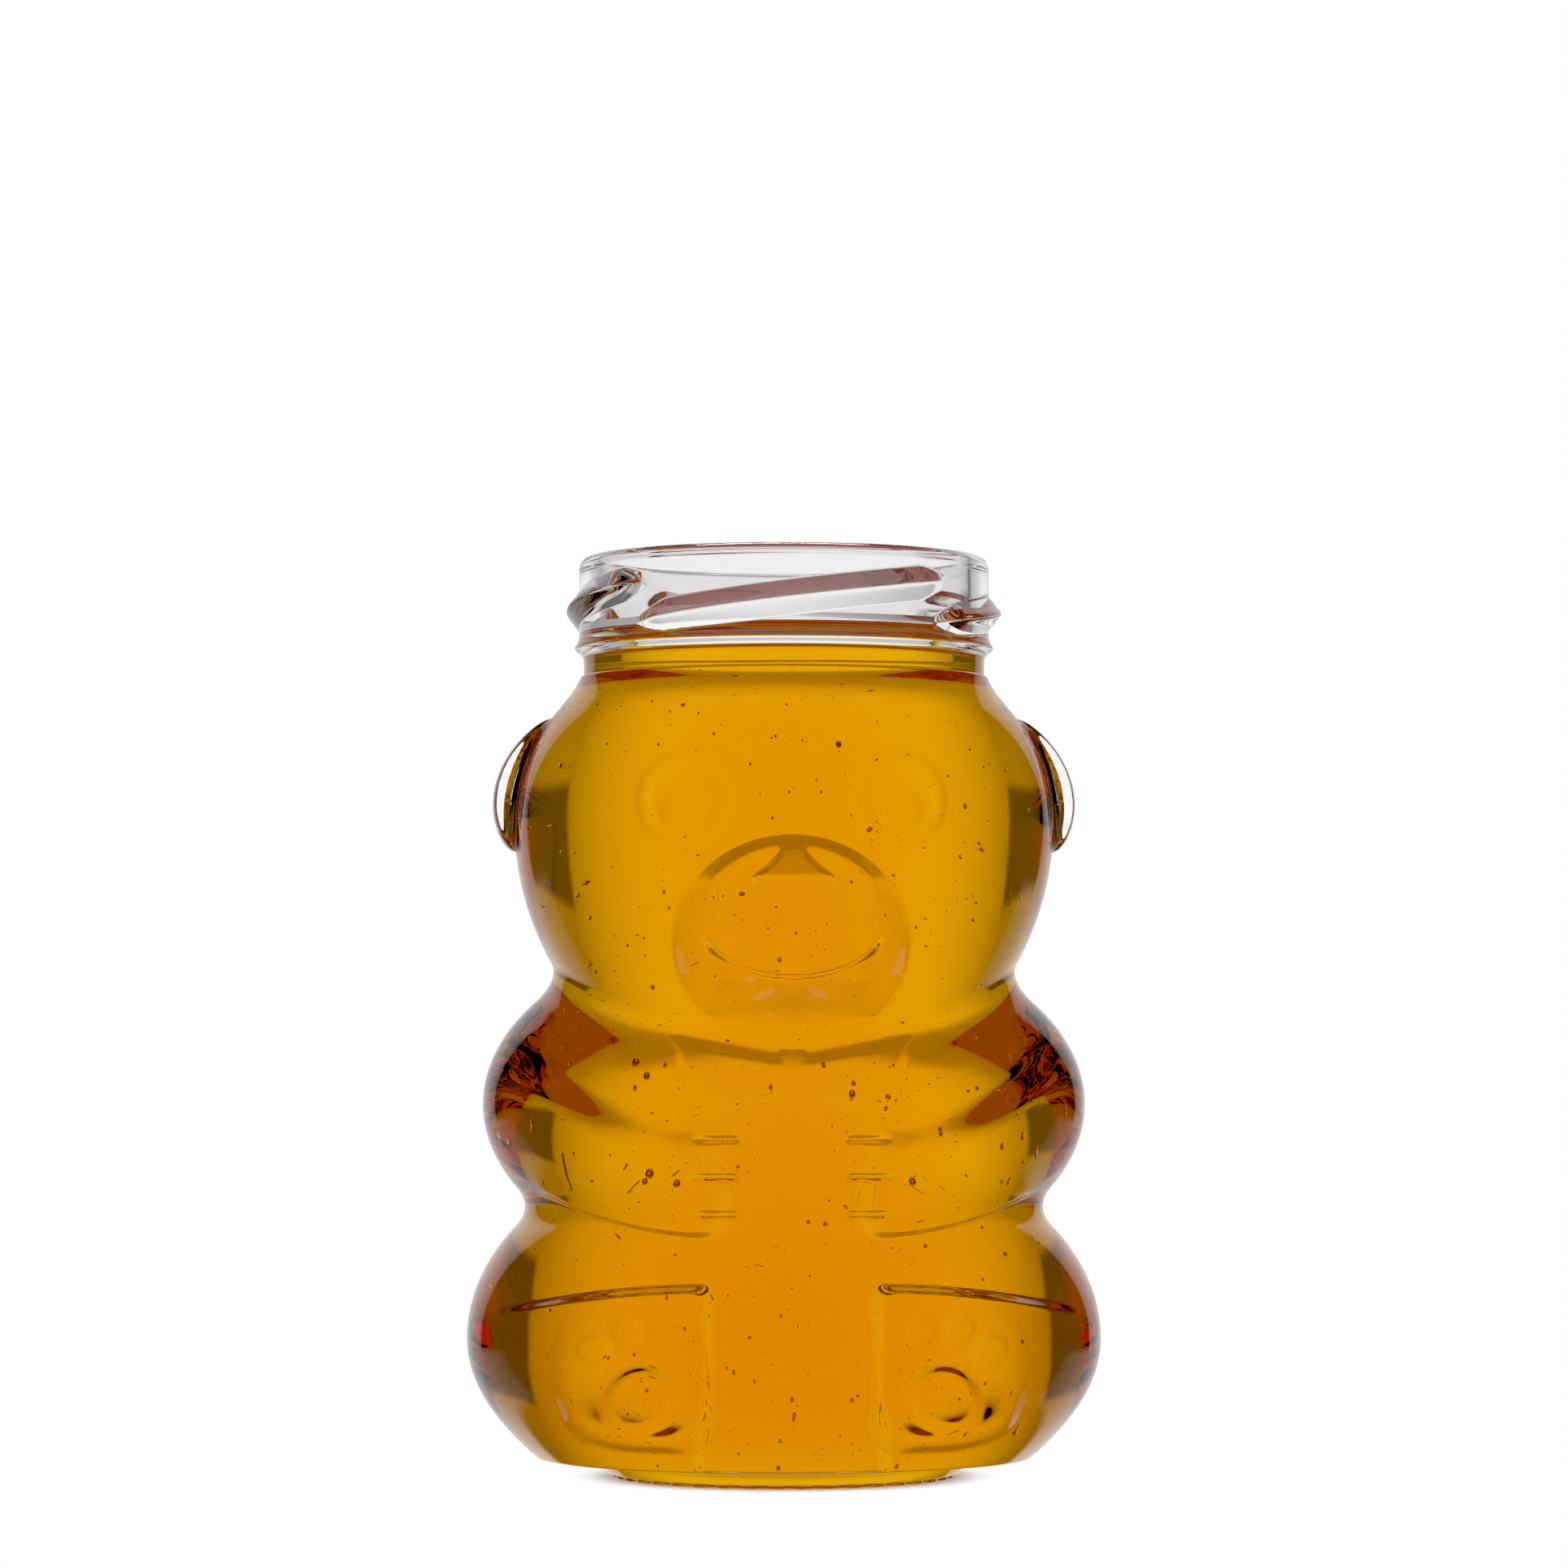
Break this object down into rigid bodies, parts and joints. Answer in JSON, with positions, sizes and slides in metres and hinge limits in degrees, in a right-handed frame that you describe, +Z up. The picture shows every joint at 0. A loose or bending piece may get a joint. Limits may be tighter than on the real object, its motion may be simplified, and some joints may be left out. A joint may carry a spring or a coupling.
{
  "type": "honey jar",
  "caption": "Open glass honey jar shaped as a sitting bear with a bow tie, with a twist-off lug mouth and a fill of amber honey.",
  "frame": {"origin": "middle of the bearing ring, on the surface that the jar stands on", "axes": "+Z up along the axis of the mouth, -Y towards the bear's face, +X towards the ear on the right of the picture"},
  "size_m": [0.0766, 0.0739, 0.1109],
  "materials": {
    "glass": "clear flint glass, fire polished",
    "honey": "clear amber liquid honey with small air bubbles"
  },
  "bodies": {
    "root": {"glass_jar": "glass", "honey": "honey"}
  },
  "joints": []
}
